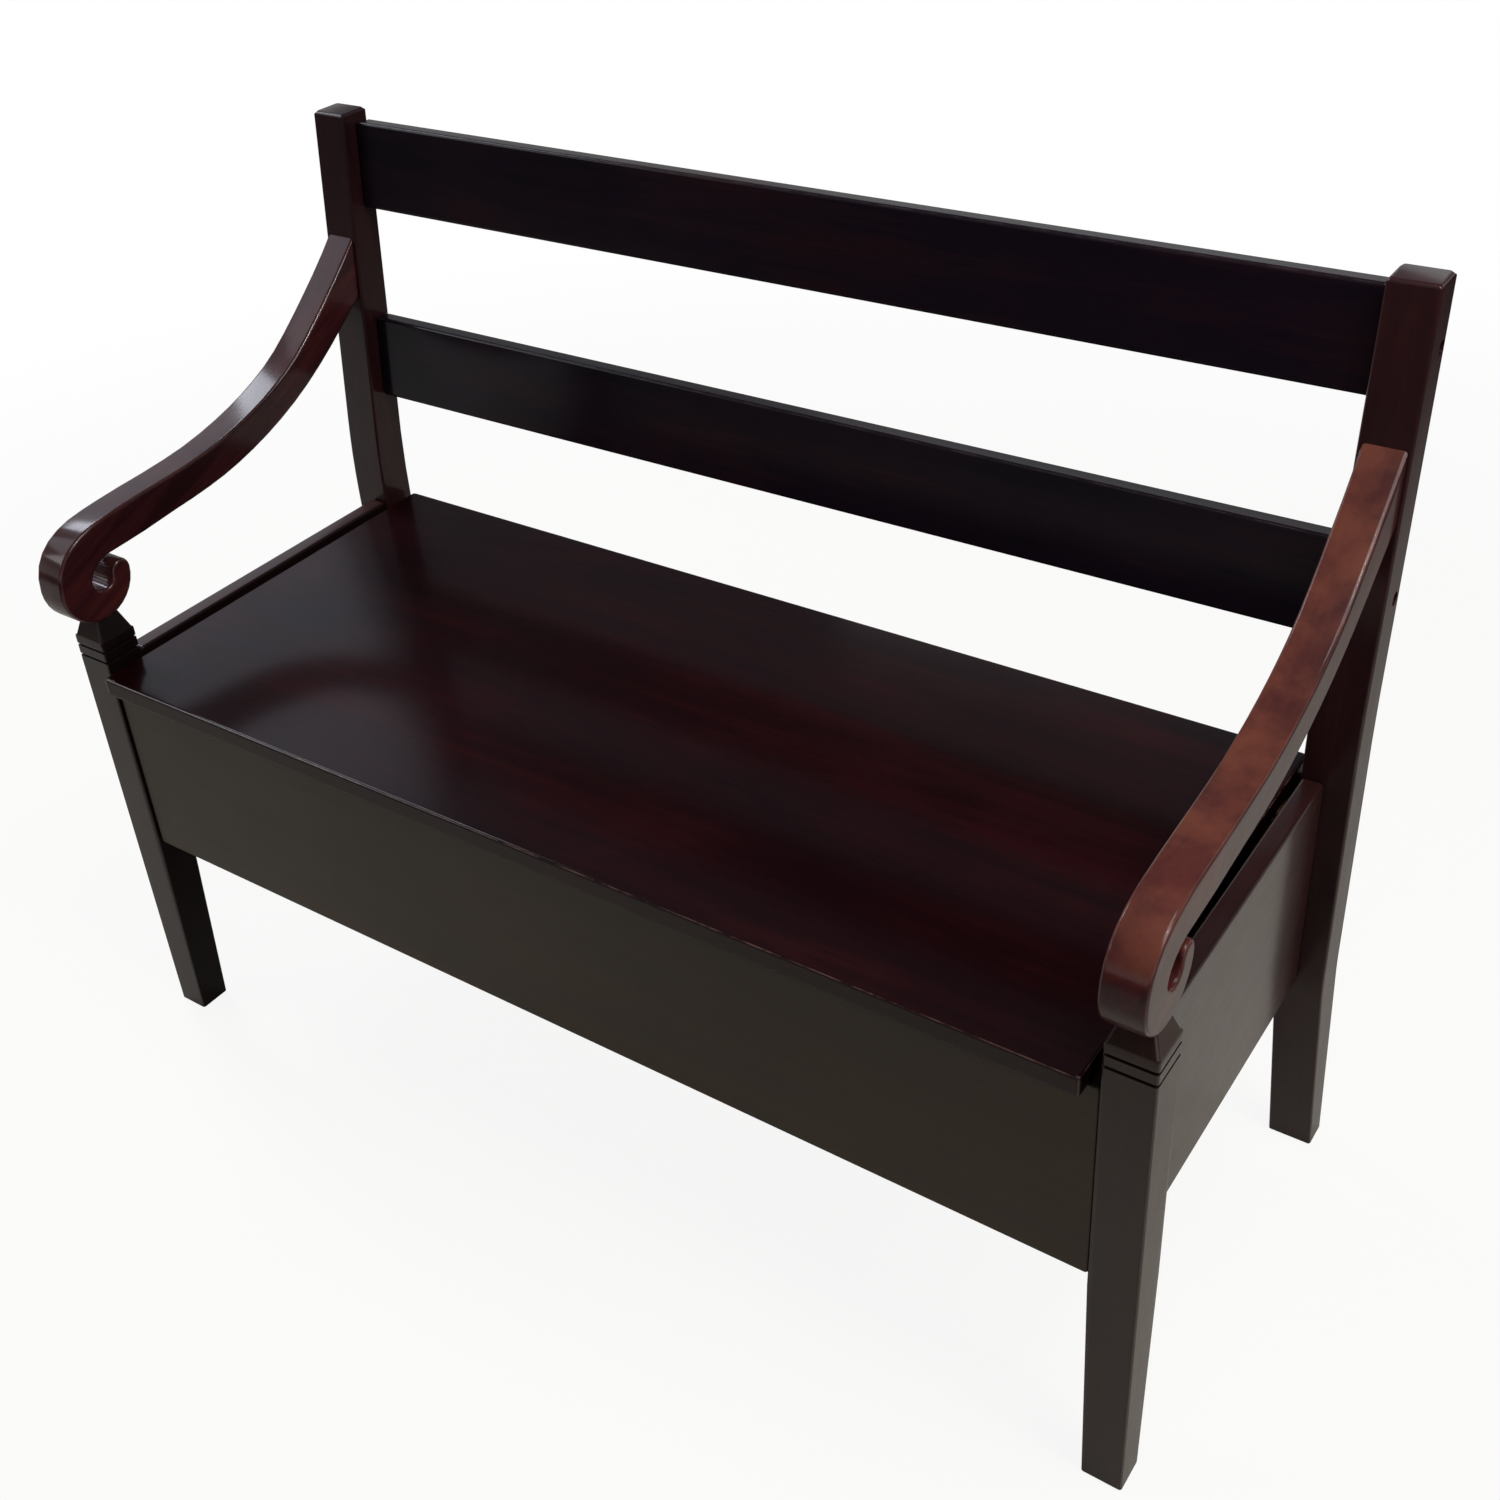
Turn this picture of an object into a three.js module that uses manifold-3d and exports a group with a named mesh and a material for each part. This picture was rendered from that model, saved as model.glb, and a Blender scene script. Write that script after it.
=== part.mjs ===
// Deacons bench: a storage box on tapered legs, with raked rear posts, two back rails,
// scrolled arms and a lid that lifts on three butt hinges.
// Millimetres, +X to the right as seen from the front, +Y to the back, +Z up.
import * as THREE from 'three';
import { mergeVertices } from 'three/addons/utils/BufferGeometryUtils.js';
import Module from 'manifold-3d';

const wasm = await Module();
wasm.setup();

// Whole bench
const benchLength = 1168;
const benchHeight = 904;
const seatHeight = 466.7;
const frameDepth = 404.3; // front of the legs to the front of the rear posts, at the box
const seatGap = 0.3; // left between two pieces that seat on each other
const cutOverrun = 8;

// Front legs
const legWidth = 43;
const legDepth = 41.9;
const legFootWidth = 36.8;
const legFootDepth = 34.4;
const legTaperTop = 236;
const legEdge = 2.5;
const footEase = 2;

// Reeded top of the front legs, in heights above the seat
const lowerGrooveRise = 6.3;
const groovePitch = 12;
const grooveWidth = 3.2;
const grooveDepth = 1.8;
const neckFootRise = 30;
const neckTopRise = 51.6;
const neckBeadEase = 1.6;
const neckStep = 1.4;
const neckInset = 8.5;

// Rear posts: upright at the box, leaning back above it and kicked back below it
const postWidth = 45.2;
const postDepth = 40.5;
const postTopWidth = 42.4;
const postTopDepth = 36.4;
const postFootWidth = 42.4;
const postFootDepth = 30.3;
const postEdge = 2.5;
const postTopEase = 3;
const rakeRise = 52.3; // from the seat up to the bend where the post leans back
const rakeReach = 37.5; // how far back the post's top leans
const rakeBend = 43; // half the height of the rounded bend
const splayStart = 246;
const splayReach = 43.1; // how far back the post's foot stands
const splayBend = 16;

// Back rails, each placed by its middle line at the posts' front faces
const topRailDrop = 53.8; // below the posts' tops
const middleRailShare = 0.398; // of the way from the seat to the posts' tops
const railWidth = 90;
const railThickness = 20;
const railSetback = 17;
const railEdge = 3;
const railCorner = 4;

// Arms
const armWidth = 36.4;
const armEdge = 3.5;
const scrollRadius = 42;
const scrollOffset = 17; // scroll centre behind the leg's front face
const scrollFlat = 2.3; // depth of the flat that sits on the leg
const scrollTipRadius = 11;
const scrollEyeRadius = 12;
const crestRise = 60.7; // top of the level stretch above the scroll centre
const crestOffset = 28; // and its front end behind that centre
const throatRise = 21.5; // where the underside turns into the scroll's eye
const throatOffset = 21.5;
const armTopShare = 0.7057; // where the arm's top meets the post, from the seat to the posts' tops
const armUnderShare = 0.5525; // and where its underside does
const topEdgeShares = [
  [0.154, 0.021], [0.275, 0.04], [0.385, 0.069], [0.482, 0.12], [0.567, 0.184],
  [0.64, 0.258], [0.712, 0.354], [0.785, 0.491], [0.858, 0.651], [0.931, 0.821], [1, 1],
];
const underEdgeShares = [
  [0.154, 0.019], [0.25, 0.051], [0.348, 0.08], [0.445, 0.126], [0.542, 0.206],
  [0.64, 0.318], [0.738, 0.466], [0.835, 0.658], [0.931, 0.882], [1, 1.05],
];
const noseStartHandleShares = [-0.4, 1.345];
const noseEndHandleShares = [-1, 0.9];
const eyeWallAngle = 165;
const eyeHandleShares = [0.012, 0.415];

// Panels of the box
const boxBottom = 244;
const frontPanelRecess = 3.3;
const panelThickness = 19;
const endPanelTop = 469.4;
const rearPanelThickness = 15;
const rearPanelInset = 4.2; // in front of the posts' back faces
const panelEdge = 2.5;
const panelCorner = 4;
const bottomThickness = 9;
const cleatSize = 20;
const cleatLift = 4;
const cleatEndGap = 18;
const blockSize = 32;
const blockTopGap = 16;

// Lid
const lidThickness = 20;
const lidFrontReach = 14.4; // beyond the legs' front faces
const lidRearInset = 2.2; // in front of the posts' back faces
const lidEndGap = 6.7;
const lidEdge = 3;
const lidCorner = 4;
const hingeLineGap = 0.6; // between the rear panel and the lid

// Hinges
const hingeSetback = 204; // from the bench's end to the middle of the nearest hinge
const hingeLength = 64;
const hingeReach = 16.3;
const leafThickness = 1.6;
const leafGap = 0.3;
const knuckleCount = 5;
const knuckleRadius = 3.4;
const knuckleGap = 0.4;
const pinRadius = 1.7;
const pinClearance = 0.3;
const pinHeadRadius = 2.7;
const pinHeadThickness = 1.2;

// Bolts, barrel nuts and dowels
const boltRadius = 3;
const boltHeadRadius = 6;
const boltHeadThickness = 4.5;
const boltTip = 1;
const socketRadius = 2.3;
const socketDepth = 2.8;
const boltClearance = 0.4;
const boreDepthGap = 2;
const counterboreDepth = 7;
const railBoltReach = 42; // into the rail
const barrelNutRadius = 5;
const barrelNutLength = 13;
const barrelNutInset = 30; // from the rail's end
const armBoltReach = 34;
const armBoltRise = 17; // above the arm's underside at the post
const cornerBoltReach = 24;
const cornerBoltEdge = 9.5; // from the leg's or post's face
const cornerBoltEndGap = 30; // from the block's ends
const dowelRadius = 4;
const railDowelReach = 15;
const railDowelEdge = 19; // from the rail's long edge
const armDowelRadius = 5;
const armDowelInLeg = 22;
const armDowelInScroll = 17;

// Facets
const cornerSteps = 3;
const rodSides = 12;
const socketSides = 6;
const bendSteps = 4;
const bevelSteps = 2;
const sweepSteps = 18;
const noseSteps = 7;
const scrollSteps = 16;
const tipSteps = 8;
const eyeSteps = 9;
const throatSteps = 4;

// Finishes
const frameFinish = new THREE.MeshStandardMaterial({ color: 0x37191a, roughness: 0.28, metalness: 0 });
const railFinish = new THREE.MeshStandardMaterial({ color: 0x1a1016, roughness: 0.3, metalness: 0 });
const armFinish = new THREE.MeshStandardMaterial({ color: 0x4b211c, roughness: 0.28, metalness: 0 });
const panelFinish = new THREE.MeshStandardMaterial({ color: 0x2b2320, roughness: 0.35, metalness: 0 });
const lidFinish = new THREE.MeshStandardMaterial({ color: 0x260f11, roughness: 0.25, metalness: 0 });
const innerFinish = new THREE.MeshStandardMaterial({ color: 0x8a6744, roughness: 0.7, metalness: 0 });
const blackSteel = new THREE.MeshStandardMaterial({ color: 0x1b1a1a, roughness: 0.45, metalness: 0.8 });
const hingeSteel = new THREE.MeshStandardMaterial({ color: 0x8d8578, roughness: 0.4, metalness: 0.9 });

// Places that several pieces share
const halfLength = benchLength / 2;
const backHeight = benchHeight - seatHeight;
const lidUnderside = seatHeight - lidThickness;
const neckTop = seatHeight + neckTopRise;
const scrollHeight = neckTop + seatGap + scrollRadius - scrollFlat;
const postBack = frameDepth + postDepth;
const rearPanelBack = postBack - rearPanelInset;
const rearPanelFront = rearPanelBack - rearPanelThickness;
const frontPanelBack = frontPanelRecess + panelThickness;
const lidRear = postBack - lidRearInset;
const hingeAxisY = lidRear + knuckleRadius + seatGap;
const hingeAxisZ = lidUnderside - hingeLineGap / 2;
const bottomTop = boxBottom + cleatLift + cleatSize + seatGap + bottomThickness;
const blockBottom = bottomTop + seatGap;
const blockTop = lidUnderside - blockTopGap;
const cornerBoltHeights = [blockBottom + cornerBoltEndGap, blockTop - cornerBoltEndGap];
const rakeStart = seatHeight + rakeRise;
const rakeSlope = rakeReach / (benchHeight - rakeStart);
const splaySlope = splayReach / splayStart;
const rakeAngle = Math.atan(rakeSlope);
const topRailHeight = benchHeight - topRailDrop;
const middleRailHeight = seatHeight + middleRailShare * backHeight;
const boltBore = boltRadius + boltClearance;
const headBore = boltHeadRadius + boltClearance;

const bench = new THREE.Group();

// A closed geometry as a solid that can be joined and cut
function solidOf(geometry) {
  const bare = geometry.clone();
  bare.deleteAttribute('normal');
  bare.deleteAttribute('uv');
  const merged = mergeVertices(bare);
  const triangles = [];
  for (let i = 0; i < merged.index.count; i += 3) {
    const [a, b, c] = [0, 1, 2].map((k) => merged.index.getX(i + k));
    if (a !== b && b !== c && c !== a) triangles.push(a, b, c);
  }
  const vertices = new Float32Array(merged.attributes.position.array);
  return new wasm.Manifold(new wasm.Mesh({
    numProp: 3, vertProperties: vertices, triVerts: new Uint32Array(triangles),
  }));
}

function geometryOf(solid) {
  const mesh = solid.getMesh();
  const geometry = new THREE.BufferGeometry();
  geometry.setAttribute('position', new THREE.BufferAttribute(mesh.vertProperties, 3));
  geometry.setIndex(new THREE.BufferAttribute(mesh.triVerts, 1));
  geometry.computeVertexNormals();
  return geometry;
}

function cut(geometry, tools) {
  return geometryOf(tools.reduce((solid, tool) => solid.subtract(solidOf(tool)), solidOf(geometry)));
}

function join(pieces) {
  return geometryOf(pieces.map(solidOf).reduce((solid, piece) => solid.add(piece)));
}

function addPiece(name, geometry, material, parent = bench) {
  const mesh = new THREE.Mesh(geometry, material);
  mesh.name = name;
  parent.add(mesh);
  return mesh;
}

// A round rod along one axis, from one place on it to another
function rod(axis, radius, from, to) {
  const geometry = new THREE.CylinderGeometry(radius, radius, Math.abs(to - from), rodSides);
  geometry.translate(0, (from + to) / 2, 0);
  if (axis === 'x') geometry.rotateZ(-Math.PI / 2);
  if (axis === 'z') geometry.rotateX(Math.PI / 2);
  return geometry;
}

function box(xLow, xHigh, yLow, yHigh, zLow, zHigh) {
  const geometry = new THREE.BoxGeometry(xHigh - xLow, yHigh - yLow, zHigh - zLow);
  return geometry.translate((xLow + xHigh) / 2, (yLow + yHigh) / 2, (zLow + zHigh) / 2);
}

// The same box on either end of the bench, between two distances from the middle
function endBox(side, near, far, yLow, yHigh, zLow, zHigh) {
  const [xLow, xHigh] = [side * near, side * far].sort((a, b) => a - b);
  return box(xLow, xHigh, yLow, yHigh, zLow, zHigh);
}

// One level ring of an upright with eased corners
function easedRing(xLow, xHigh, yLow, yHigh, z, radius) {
  const corners = [
    [xHigh - radius, yHigh - radius], [xLow + radius, yHigh - radius],
    [xLow + radius, yLow + radius], [xHigh - radius, yLow + radius],
  ];
  return corners.flatMap(([x, y], corner) => {
    const start = corner * Math.PI / 2;
    const arc = new THREE.EllipseCurve(x, y, radius, radius, start, start + Math.PI / 2);
    return arc.getPoints(cornerSteps).map((point) => new THREE.Vector3(point.x, point.y, z));
  });
}

// A closed skin over rings of equal count, from the lowest to the highest
function loft(rings) {
  const count = rings[0].length;
  const middleOf = (ring) => ring.reduce((sum, p) => sum.add(p), new THREE.Vector3()).divideScalar(count);
  const points = [...rings.flat(), middleOf(rings[0]), middleOf(rings.at(-1))];
  const foot = points.length - 2;
  const head = points.length - 1;
  const topRing = (rings.length - 1) * count;
  const faces = [];
  for (let j = 0; j < count; j += 1) {
    const next = (j + 1) % count;
    faces.push(foot, next, j, head, topRing + j, topRing + next);
    for (let start = 0; start < topRing; start += count) {
      const [a, b, c, d] = [start + j, start + next, start + count + next, start + count + j];
      faces.push(a, b, c, a, c, d);
    }
  }
  const geometry = new THREE.BufferGeometry().setFromPoints(points);
  geometry.setIndex(faces);
  geometry.computeVertexNormals();
  return geometry;
}

// A board with all its edges eased, its length along X, its width along Y, its middle at zero
function easedBoard(length, width, thickness, edge, corner) {
  const outline = new THREE.Shape(easedRing(-length / 2, length / 2, -width / 2, width / 2, 0, corner));
  const board = new THREE.ExtrudeGeometry(outline, {
    depth: thickness - 2 * edge, bevelThickness: edge, bevelSize: edge, bevelOffset: -edge,
    bevelSegments: bevelSteps,
  });
  return board.translate(0, 0, edge - thickness / 2);
}

// Turns a board or profile from XY into YZ, so that its thickness runs along X
function standAcross(geometry) {
  const [x, y, z] = [new THREE.Vector3(1, 0, 0), new THREE.Vector3(0, 1, 0), new THREE.Vector3(0, 0, 1)];
  return geometry.applyMatrix4(new THREE.Matrix4().makeBasis(y, z, x));
}

// Rear posts

// How far a straight run has gone past its start, with the bend there rounded
function bentRun(distance, bend) {
  if (distance <= -bend) return 0;
  return distance < bend ? (distance + bend) ** 2 / (4 * bend) : distance;
}

function postFront(z) {
  return frameDepth + rakeSlope * bentRun(z - rakeStart, rakeBend)
    + splaySlope * bentRun(splayStart - z, splayBend);
}

function postSize(z, foot, box, top) {
  if (z < splayStart) return foot + (box - foot) * z / splayStart;
  return box + (top - box) * Math.max(0, (z - rakeStart) / (benchHeight - rakeStart));
}

const postWidthAt = (z) => postSize(z, postFootWidth, postWidth, postTopWidth);
const postDepthAt = (z) => postSize(z, postFootDepth, postDepth, postTopDepth);
const postBackAt = (z) => postFront(z) + postDepthAt(z);

// The leaning frame of the posts at one height: Y runs back through the post, Z up along it
function rakedFrame(z) {
  const frame = new THREE.Matrix4().makeRotationX(-rakeAngle);
  return frame.setPosition(0, postFront(z), z);
}

function bendHeights(middle, half) {
  const steps = Array.from({ length: bendSteps + 1 }, (_, i) => i / bendSteps);
  return steps.map((share) => middle - half + 2 * half * share);
}

function postRing(side, z, inset) {
  const outer = side * (halfLength - inset);
  const inner = side * (halfLength - postWidthAt(z) + inset);
  const front = postFront(z) + inset;
  const back = postBackAt(z) - inset;
  return easedRing(Math.min(outer, inner), Math.max(outer, inner), front, back, z, postEdge);
}

function rearPost(side) {
  const heights = [footEase, ...bendHeights(splayStart, splayBend),
    ...bendHeights(rakeStart, rakeBend), benchHeight - postTopEase];
  const rings = heights.map((z) => postRing(side, z, 0));
  rings.unshift(postRing(side, 0, footEase));
  rings.push(postRing(side, benchHeight, postTopEase));
  return cut(loft(rings), [...railBores(side), armBoltBore(side), ...cornerBores(side, 'rear')]);
}

// Back rails with their bolts, barrel nuts and dowels

const railMiddle = railSetback + railThickness / 2;
const railHalf = (z) => halfLength - postWidthAt(z - railWidth / 2) - seatGap;
const railDowelRise = railWidth / 2 - railDowelEdge;
const nutBack = railThickness / 2 - seatGap; // behind the bolt's axis

// Bolt and dowel bores through one post, for both rails
function railBores(side) {
  return [topRailHeight, middleRailHeight].flatMap((z) => {
    const innerFace = railHalf(z) - cutOverrun;
    const bolt = rod('x', boltBore, side * innerFace, side * (halfLength + cutOverrun));
    const headSeat = side * (halfLength - counterboreDepth);
    const head = rod('x', headBore, headSeat, side * (halfLength + cutOverrun));
    const dowelEnd = railHalf(z) + railDowelReach + seatGap;
    const dowels = [-railDowelRise, railDowelRise].map((rise) => (
      rod('x', dowelRadius + seatGap, side * innerFace, side * dowelEnd).translate(0, 0, rise)));
    return [bolt, head, ...dowels].map((tool) => (
      tool.translate(0, railMiddle, 0).applyMatrix4(rakedFrame(z))));
  });
}

function railBoard(z) {
  const half = railHalf(z);
  const board = easedBoard(2 * half, railWidth, railThickness, railEdge, railCorner).rotateX(Math.PI / 2);
  const tools = [];
  for (const side of [-1, 1]) {
    const end = side * (half + cutOverrun);
    tools.push(rod('x', boltBore, side * (half - railBoltReach - boreDepthGap), end));
    const nutFront = nutBack - barrelNutLength - seatGap;
    const nutBore = rod('y', barrelNutRadius + seatGap, nutFront, railThickness / 2 + cutOverrun);
    tools.push(nutBore.translate(side * (half - barrelNutInset), 0, 0));
    for (const rise of [-railDowelRise, railDowelRise]) {
      const bore = rod('x', dowelRadius + seatGap, side * (half - railDowelReach - seatGap), end);
      tools.push(bore.translate(0, 0, rise));
    }
  }
  return cut(board, tools);
}

function bolt(length) {
  const profile = [
    [0, 0], [boltHeadRadius, 0], [boltHeadRadius, boltHeadThickness], [boltRadius, boltHeadThickness],
    [boltRadius, length - boltTip], [boltRadius - boltTip, length], [0, length],
  ].map(([radius, y]) => new THREE.Vector2(radius, y));
  const socket = new THREE.CylinderGeometry(socketRadius, socketRadius, 2 * socketDepth, socketSides);
  return cut(new THREE.LatheGeometry(profile, rodSides), [socket]);
}

function barrelNut() {
  const crossBore = rod('x', boltBore, -barrelNutRadius - cutOverrun, barrelNutRadius + cutOverrun);
  return cut(rod('y', barrelNutRadius, nutBack - barrelNutLength, nutBack), [crossBore]);
}

function addRail(name, z) {
  const group = new THREE.Group();
  group.applyMatrix4(rakedFrame(z));
  bench.add(group);
  const half = railHalf(z);
  addPiece(`${name}_rail`, railBoard(z), railFinish, group).position.y = railMiddle;
  for (const [side, end] of [[-1, 'left'], [1, 'right']]) {
    const head = halfLength - counterboreDepth + boltHeadThickness;
    const boltLength = head - half + railBoltReach;
    const railBolt = addPiece(`${name}_rail_bolt_${end}`, bolt(boltLength), blackSteel, group);
    railBolt.position.set(side * head, railMiddle, 0);
    railBolt.rotation.z = side * Math.PI / 2;
    const nut = addPiece(`${name}_rail_nut_${end}`, barrelNut(), blackSteel, group);
    nut.position.set(side * (half - barrelNutInset), railMiddle, 0);
    for (const [rise, place] of [[-railDowelRise, 'lower'], [railDowelRise, 'upper']]) {
      const dowel = rod('x', dowelRadius, side * (half - railDowelReach), side * (half + railDowelReach));
      const mesh = addPiece(`${name}_rail_dowel_${place}_${end}`, dowel, innerFinish, group);
      mesh.position.set(0, railMiddle, rise);
    }
  }
}

// Front legs: foot taper, two grooves run round the top, and a tapered neck under the arm

function legRing(side, z, inset) {
  const share = Math.min(1, z / legTaperTop);
  const width = legFootWidth + (legWidth - legFootWidth) * share;
  const depth = legFootDepth + (legDepth - legFootDepth) * share;
  const outer = side * (halfLength - inset);
  const inner = side * (halfLength - width + inset);
  return easedRing(Math.min(outer, inner), Math.max(outer, inner), inset, depth - inset, z, legEdge);
}

function grooveRings(side, z) {
  const halfWidth = grooveWidth / 2;
  const places = [
    [-halfWidth, 0], [-halfWidth / 2, grooveDepth], [halfWidth / 2, grooveDepth], [halfWidth, 0],
  ];
  return places.map(([rise, inset]) => legRing(side, z + rise, inset));
}

function frontLeg(side) {
  const lowerGroove = seatHeight + lowerGrooveRise;
  const neckFoot = seatHeight + neckFootRise;
  const rings = [
    legRing(side, 0, footEase), legRing(side, footEase, 0), legRing(side, legTaperTop, 0),
    ...grooveRings(side, lowerGroove), ...grooveRings(side, lowerGroove + groovePitch),
    legRing(side, neckFoot - neckBeadEase, 0), legRing(side, neckFoot, neckStep),
    legRing(side, neckTop, neckInset),
  ];
  const boreFoot = neckTop - armDowelInLeg - seatGap;
  const dowelBore = rod('z', armDowelRadius + seatGap, boreFoot, neckTop + cutOverrun);
  dowelBore.translate(side * armMiddle, scrollOffset, 0);
  return cut(loft(rings), [dowelBore, ...cornerBores(side, 'front')]);
}

// Arms: an S sweep from the post to a scroll that curls round an open eye

const armMiddle = halfLength - legWidth / 2;
const armRearTop = seatHeight + armTopShare * backHeight - scrollHeight;
const armRearUnder = seatHeight + armUnderShare * backHeight - scrollHeight;
const armReach = postFront(scrollHeight + armRearTop) - scrollOffset;
const armBoltHeight = scrollHeight + armRearUnder + armBoltRise;

function sweptEdge(start, shares, rearHeight) {
  const points = shares.map(([along, up]) => (
    new THREE.Vector2(armReach * along, start.y + (rearHeight - start.y) * up)));
  return new THREE.SplineCurve([start, ...points]);
}

function arcPoints(x, radius, start, end, steps, clockwise = false) {
  return new THREE.EllipseCurve(x, 0, radius, radius, start, end, clockwise).getPoints(steps);
}

function armOutline() {
  const crest = new THREE.Vector2(crestOffset, crestRise);
  const throat = new THREE.Vector2(throatOffset, throatRise);
  const front = new THREE.Vector2(-scrollRadius, 0);
  const scrollPoint = ([x, y]) => new THREE.Vector2(x * scrollRadius, y * scrollRadius);
  const tipX = scrollRadius - scrollTipRadius;
  const eyeX = tipX - scrollTipRadius - scrollEyeRadius;
  const wallAngle = THREE.MathUtils.degToRad(eyeWallAngle);
  const topEdge = sweptEdge(crest, topEdgeShares, armRearTop).getPoints(sweepSteps).reverse();
  const handles = [scrollPoint(noseStartHandleShares), scrollPoint(noseEndHandleShares)];
  const nose = new THREE.CubicBezierCurve(crest, ...handles, front).getPoints(noseSteps);
  const outer = arcPoints(0, scrollRadius, Math.PI, 2 * Math.PI, scrollSteps);
  const tip = arcPoints(tipX, scrollTipRadius, 0, Math.PI, tipSteps);
  const eye = arcPoints(eyeX, scrollEyeRadius, 0, wallAngle, eyeSteps, true);
  const throatCurve = new THREE.QuadraticBezierCurve(eye.at(-1), scrollPoint(eyeHandleShares), throat);
  const underEdge = sweptEdge(throat, underEdgeShares, armRearUnder).getPoints(sweepSteps);
  const runs = [topEdge, nose, outer, tip, eye, throatCurve.getPoints(throatSteps), underEdge];
  return new THREE.Shape(runs.flatMap((run, i) => (i === 0 ? run : run.slice(1))));
}

function arm(side) {
  const blank = new THREE.ExtrudeGeometry(armOutline(), {
    depth: armWidth - 2 * armEdge, bevelThickness: armEdge, bevelSize: armEdge, bevelOffset: -armEdge,
    bevelSegments: bevelSteps,
  });
  standAcross(blank.translate(0, 0, armEdge - armWidth / 2));
  blank.translate(side * armMiddle, scrollOffset, scrollHeight);
  const near = armMiddle - armWidth;
  const far = armMiddle + armWidth;
  const postSide = endBox(side, near, far, -seatGap, armReach, -armRearTop, armRearTop);
  const seat = endBox(side, near, far, scrollOffset - scrollRadius, scrollOffset + scrollRadius,
    scrollHeight - 2 * scrollRadius, neckTop + seatGap);
  const boreHead = neckTop + armDowelInScroll + 2 * seatGap;
  const dowelBore = rod('z', armDowelRadius + seatGap, neckTop - cutOverrun, boreHead);
  dowelBore.translate(side * armMiddle, scrollOffset, 0);
  const boltHole = rod('y', boltBore, -armBoltReach - boreDepthGap, cutOverrun);
  boltHole.translate(side * armMiddle, 0, 0).applyMatrix4(rakedFrame(armBoltHeight));
  return cut(blank, [postSide.applyMatrix4(rakedFrame(armBoltHeight)), seat, dowelBore, boltHole]);
}

// The bolt that holds an arm's rear end goes in from the back of the post
function armBoltBore(side) {
  const depth = postDepthAt(armBoltHeight);
  const tools = join([
    rod('y', boltBore, -cutOverrun, depth + cutOverrun),
    rod('y', headBore, depth - counterboreDepth, depth + cutOverrun),
  ]);
  return tools.translate(side * armMiddle, 0, 0).applyMatrix4(rakedFrame(armBoltHeight));
}

function addArm(side, end) {
  addPiece(`arm_${end}`, arm(side), armFinish);
  const dowel = rod('z', armDowelRadius, neckTop - armDowelInLeg, neckTop + armDowelInScroll);
  addPiece(`arm_dowel_${end}`, dowel, innerFinish).position.set(side * armMiddle, scrollOffset, 0);
  const group = new THREE.Group();
  group.applyMatrix4(rakedFrame(armBoltHeight));
  bench.add(group);
  const head = postDepthAt(armBoltHeight) - counterboreDepth + boltHeadThickness;
  const armBolt = addPiece(`arm_bolt_${end}`, bolt(head + armBoltReach), blackSteel, group);
  armBolt.position.set(side * armMiddle, head, 0);
  armBolt.rotation.x = Math.PI;
}

// Corner blocks inside the box, each bolted to its leg or post

const corners = {
  front: {
    wood: halfLength - legWidth, blockFront: frontPanelBack + seatGap, boltY: legDepth - cornerBoltEdge,
  },
  rear: {
    wood: halfLength - postWidth, blockFront: rearPanelFront - seatGap - blockSize,
    boltY: frameDepth + cornerBoltEdge,
  },
};

function cornerBores(side, place) {
  const { wood, boltY } = corners[place];
  return cornerBoltHeights.map((z) => {
    const far = wood + cornerBoltReach + boreDepthGap;
    return rod('x', boltBore, side * (wood - cutOverrun), side * far).translate(0, boltY, z);
  });
}

function addCorner(side, end, place) {
  const { wood, blockFront, boltY } = corners[place];
  const far = wood - seatGap;
  const near = far - blockSize;
  const block = endBox(side, near, far, blockFront, blockFront + blockSize, blockBottom, blockTop);
  const bores = cornerBoltHeights.map((z) => (
    rod('x', boltBore, side * (near - cutOverrun), side * (far + cutOverrun)).translate(0, boltY, z)));
  addPiece(`corner_block_${place}_${end}`, cut(block, bores), innerFinish);
  cornerBoltHeights.forEach((z, i) => {
    const level = ['lower', 'upper'][i];
    const head = near - seatGap - boltHeadThickness;
    const name = `corner_bolt_${place}_${end}_${level}`;
    const cornerBolt = addPiece(name, bolt(wood - head + cornerBoltReach), blackSteel);
    cornerBolt.position.set(side * head, boltY, z);
    cornerBolt.rotation.z = -side * Math.PI / 2;
  });
}

// Panels of the box, its bottom and the cleats that carry it

function addPanels() {
  const frontHeight = lidUnderside - seatGap - boxBottom;
  const frontLength = 2 * (halfLength - legWidth - seatGap);
  const front = easedBoard(frontLength, frontHeight, panelThickness, panelEdge, panelCorner);
  addPiece('front_panel', front.rotateX(Math.PI / 2), panelFinish)
    .position.set(0, frontPanelRecess + panelThickness / 2, boxBottom + frontHeight / 2);

  const rearEnd = halfLength - postWidth - seatGap;
  const rearTop = lidUnderside - hingeLineGap;
  const rear = box(-rearEnd, rearEnd, rearPanelFront, rearPanelBack, boxBottom, rearTop);
  const floor = hingeAxisZ - leafGap / 2 - leafThickness - seatGap;
  const mortises = hingePlaces.map(({ x }) => hingeMortise(x, floor, lidUnderside));
  addPiece('rear_panel', cut(rear, mortises), panelFinish);

  const endHeight = endPanelTop - boxBottom;
  const endLength = frameDepth - legDepth - 2 * seatGap;
  for (const [side, end] of [[-1, 'left'], [1, 'right']]) {
    const board = standAcross(easedBoard(endLength, endHeight, panelThickness, panelEdge, panelCorner));
    addPiece(`end_panel_${end}`, board, panelFinish).position.set(
      side * (halfLength - legWidth + panelThickness / 2), legDepth + seatGap + endLength / 2,
      boxBottom + endHeight / 2,
    );
  }
}

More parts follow.
